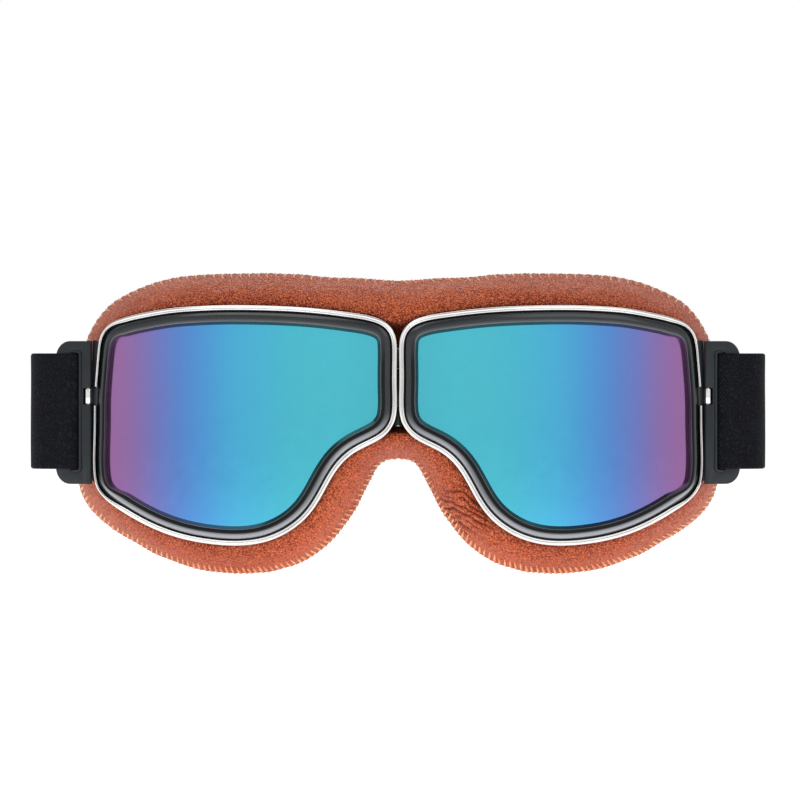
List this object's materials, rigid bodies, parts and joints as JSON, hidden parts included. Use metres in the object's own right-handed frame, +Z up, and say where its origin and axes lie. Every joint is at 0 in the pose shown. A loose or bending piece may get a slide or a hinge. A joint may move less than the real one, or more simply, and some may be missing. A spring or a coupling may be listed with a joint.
{
  "type": "motorcycle goggles",
  "caption": "Vintage-style riding goggles: two mirrored lenses in chrome-rimmed frames joined by a folding bridge, padded leather seal and elastic strap.",
  "frame": {"origin": "middle of the nose bridge on the face side of the pad, at eye level", "axes": "+Z up, -Y the way the wearer looks, +X towards the right of someone facing the lenses"},
  "size_m": [0.223, 0.1685, 0.092],
  "materials": {
    "frame_black": "moulded black with a soft gloss",
    "rear_frame_black": "moulded black, fine matt",
    "chrome": "bright chrome plating",
    "lens_mirror": "blue to violet mirror coating on dark polycarbonate",
    "gasket_rubber": "soft black rubber",
    "hinge_steel": "black-oxide steel",
    "screw_steel": "plain steel",
    "leather_tan": "tan-orange grained leather",
    "foam": "open-cell foam, dark grey",
    "lining": "brushed soft fabric",
    "plate_black": "satin black",
    "webbing_black": "woven elastic"
  },
  "bodies": {
    "left_lens_unit": {"front_frame_left": "frame_black", "rear_frame_left": "rear_frame_black", "rim_left": "chrome", "lens_left": "lens_mirror", "lens_gasket_left": "gasket_rubber", "frame_screws_left": "screw_steel", "temple_clip_left": "chrome", "hinge_leaf_left": "hinge_steel", "hinge_rivets_left": "hinge_steel", "leather_cover_left": "leather_tan", "foam_pad_left": "foam", "face_lining_left": "lining", "strap_end_left": "webbing_black", "hinge_pin": "screw_steel", "nose_leather": "leather_tan", "nose_foam": "foam", "nose_lining": "lining", "strap_back": "webbing_black"},
    "left_strap_plate": {"strap_plate_left": "plate_black", "temple_pin_left": "screw_steel"},
    "left_adjuster": {"adjuster_left": "plate_black"},
    "right_lens_unit": {"front_frame_right": "frame_black", "rear_frame_right": "rear_frame_black", "rim_right": "chrome", "lens_right": "lens_mirror", "lens_gasket_right": "gasket_rubber", "frame_screws_right": "screw_steel", "temple_clip_right": "chrome", "hinge_leaf_right": "hinge_steel", "hinge_rivets_right": "hinge_steel", "leather_cover_right": "leather_tan", "foam_pad_right": "foam", "face_lining_right": "lining", "strap_end_right": "webbing_black"},
    "right_strap_plate": {"strap_plate_right": "plate_black", "temple_pin_right": "screw_steel"},
    "right_adjuster": {"adjuster_right": "plate_black"}
  },
  "joints": [
    {"name": "bridge_fold", "type": "hinge", "parent": "left_lens_unit", "child": "right_lens_unit", "pos_m": [0, -0.0152, 0.009], "axis": [0, 0, 1], "range_deg": [0, 28], "deforming": ["nose_leather", "nose_foam", "nose_lining", "strap_back"]},
    {"name": "left_plate_swing", "type": "hinge", "parent": "left_lens_unit", "child": "left_strap_plate", "pos_m": [-0.0935, 0, 0.0013], "axis": [0, 0, -1], "range_deg": [-20, 5], "deforming": ["strap_end_left"]},
    {"name": "left_strap_adjust", "type": "slide", "parent": "left_lens_unit", "child": "left_adjuster", "axis": [0.5736, 0.8192, 0], "range_m": [-0.01, 0.02], "deforming": ["strap_back", "strap_end_left"]},
    {"name": "right_plate_swing", "type": "hinge", "parent": "right_lens_unit", "child": "right_strap_plate", "pos_m": [0.0935, 0, 0.0013], "axis": [0, 0, 1], "range_deg": [-20, 5], "deforming": ["strap_end_right"]},
    {"name": "right_strap_adjust", "type": "slide", "parent": "right_lens_unit", "child": "right_adjuster", "axis": [-0.5736, 0.8192, 0], "range_m": [-0.01, 0.02], "deforming": ["strap_back", "strap_end_right"]}
  ]
}
